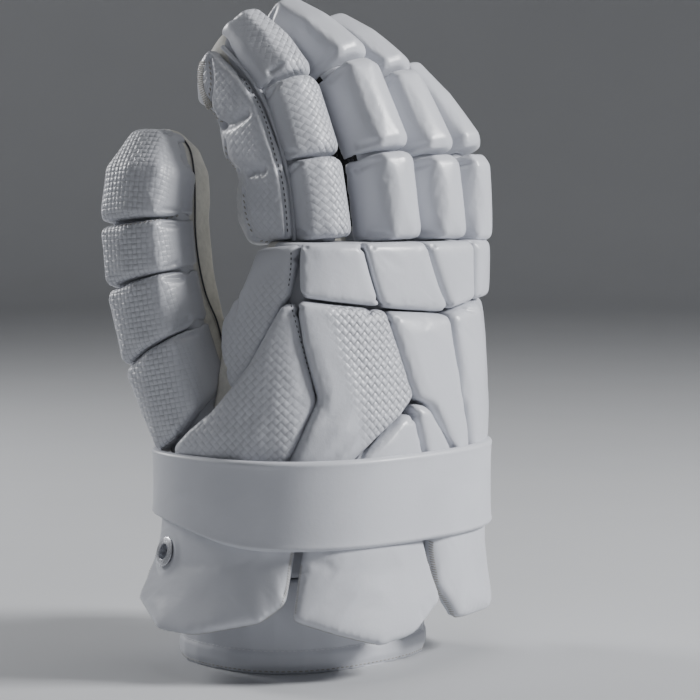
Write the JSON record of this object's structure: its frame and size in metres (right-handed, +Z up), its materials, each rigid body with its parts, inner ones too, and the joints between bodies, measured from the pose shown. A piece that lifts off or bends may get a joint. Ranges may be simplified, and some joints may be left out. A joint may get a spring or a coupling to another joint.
{
  "type": "lacrosse glove",
  "caption": "Right-hand lacrosse glove with segmented foam pads on the back, leather palm, cuff strap, flaps and wristband, fingers half curled.",
  "frame": {"origin": "middle of the wrist opening, at the wristband's lower edge", "axes": "+Z up along the hand towards the fingertips, -Y out of the back of the hand, -X towards the thumb"},
  "size_m": [0.1754, 0.1404, 0.3017],
  "materials": {
    "smooth_shell": "smooth satin coated cover over foam",
    "woven_shell": "satin cover embossed with a basket weave",
    "suede": "brushed synthetic suede",
    "mesh": "open knit mesh",
    "strap": "smooth moulded, matt",
    "flap": "satin cover over thin foam, overlocked edge",
    "band": "smooth stretch cloth, stitched rim",
    "eyelet": "glossy"
  },
  "bodies": {
    "root": {"hand_shell": "suede", "index_stall": "mesh", "middle_stall": "mesh", "ring_stall": "mesh", "little_stall": "mesh", "thumb_stall": "suede", "index_base_pad": "woven_shell", "index_mid_pad": "woven_shell", "index_tip_pad": "woven_shell", "middle_base_pad": "smooth_shell", "middle_mid_pad": "smooth_shell", "middle_tip_pad": "smooth_shell", "ring_base_pad": "smooth_shell", "ring_mid_pad": "smooth_shell", "ring_tip_pad": "smooth_shell", "little_base_pad": "smooth_shell", "little_tip_pad": "smooth_shell", "thumb_root_pad": "woven_shell", "thumb_low_pad": "woven_shell", "thumb_high_pad": "woven_shell", "thumb_tip_pad": "woven_shell", "index_guard": "woven_shell", "knuckle_index_pad": "smooth_shell", "knuckle_middle_pad": "smooth_shell", "knuckle_ring_pad": "smooth_shell", "knuckle_little_pad": "smooth_shell", "index_panel": "woven_shell", "middle_panel": "smooth_shell", "little_panel": "smooth_shell", "wedge_left_pad": "smooth_shell", "wedge_right_pad": "smooth_shell", "thumb_base_panel": "woven_shell", "web_panel": "woven_shell", "cuff_strap": "strap", "flap_thumb": "flap", "flap_back": "flap", "flap_little": "flap", "eyelet": "eyelet", "wristband": "band"}
  },
  "joints": []
}
